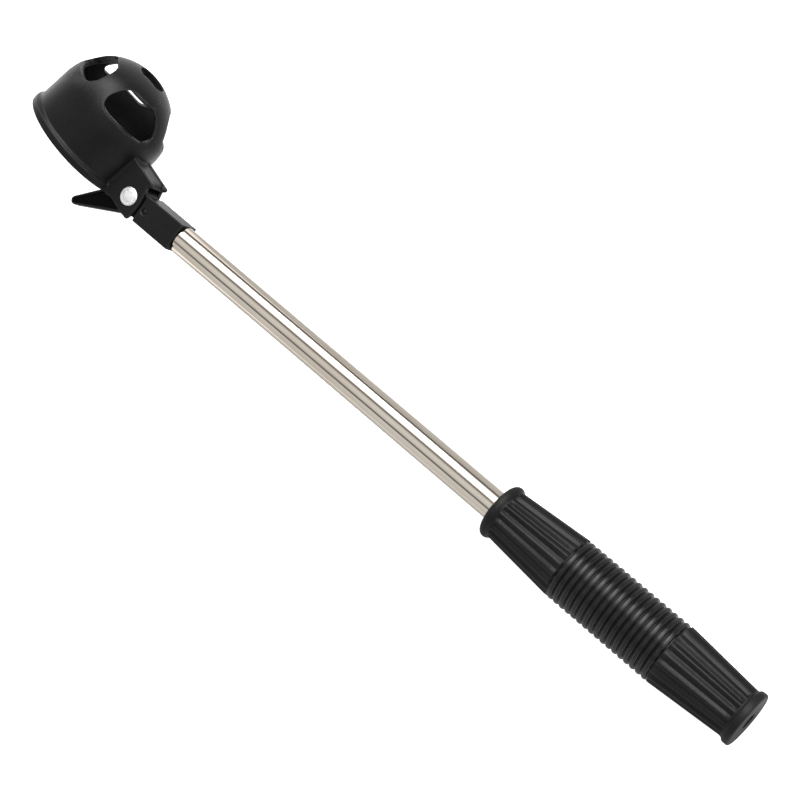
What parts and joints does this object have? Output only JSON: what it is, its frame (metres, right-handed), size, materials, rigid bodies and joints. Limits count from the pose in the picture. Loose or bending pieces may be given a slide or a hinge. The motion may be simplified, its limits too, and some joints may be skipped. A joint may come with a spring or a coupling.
{
  "type": "golf ball retriever",
  "caption": "Telescoping ball retriever: hinged open-windowed cup with a retaining finger on a nested steel pole with a ribbed rubber grip.",
  "frame": {"origin": "centre of the grip's butt face, on the shaft's axis", "axes": "+X along the shaft to the cup, +Z along the hinge rivet towards its head, crown of the cup to -Y and its mouth to +Y"},
  "size_m": [0.4135, 0.0672, 0.0578],
  "materials": {
    "moulding": "fine matt grain",
    "rivet": "bright, lightly brushed",
    "pin": "blackened",
    "tube": "polished stainless",
    "sleeve": "bright",
    "core": "moulded",
    "grip": "fine matt"
  },
  "bodies": {
    "handle": {"grip": "grip", "handle_core": "core", "main_tube": "tube"},
    "section_2": {"section_2": "tube", "sleeve_2": "sleeve"},
    "section_3": {"section_3": "tube", "sleeve_3": "sleeve"},
    "section_4": {"section_4": "tube", "sleeve_4": "sleeve"},
    "section_5": {"section_5": "tube", "sleeve_5": "sleeve"},
    "section_6": {"section_6": "tube", "sleeve_6": "sleeve"},
    "section_7": {"section_7": "tube", "sleeve_7": "sleeve"},
    "section_8": {"section_8": "tube", "sleeve_8": "sleeve"},
    "head": {"tip_tube": "tube", "sleeve_9": "sleeve", "neck_block": "moulding", "neck_pin": "pin", "hinge_rivet": "rivet", "rivet_washer": "rivet"},
    "cup": {"cup": "moulding"}
  },
  "joints": [
    {"name": "slide_2", "type": "slide", "parent": "handle", "child": "section_2", "axis": [1, 0, 0], "range_m": [0, 0.204]},
    {"name": "slide_3", "type": "slide", "parent": "section_2", "child": "section_3", "axis": [1, 0, 0], "range_m": [0, 0.204]},
    {"name": "slide_4", "type": "slide", "parent": "section_3", "child": "section_4", "axis": [1, 0, 0], "range_m": [0, 0.204]},
    {"name": "slide_5", "type": "slide", "parent": "section_4", "child": "section_5", "axis": [1, 0, 0], "range_m": [0, 0.204]},
    {"name": "slide_6", "type": "slide", "parent": "section_5", "child": "section_6", "axis": [1, 0, 0], "range_m": [0, 0.204]},
    {"name": "slide_7", "type": "slide", "parent": "section_6", "child": "section_7", "axis": [1, 0, 0], "range_m": [0, 0.204]},
    {"name": "slide_8", "type": "slide", "parent": "section_7", "child": "section_8", "axis": [1, 0, 0], "range_m": [0, 0.204]},
    {"name": "slide_9", "type": "slide", "parent": "section_8", "child": "head", "axis": [1, 0, 0], "range_m": [0, 0.204]},
    {"name": "cup_tilt", "type": "hinge", "parent": "head", "child": "cup", "pos_m": [0.3463, -0.001, 0], "axis": [0, 0, 1], "range_deg": [-10, 10]}
  ]
}
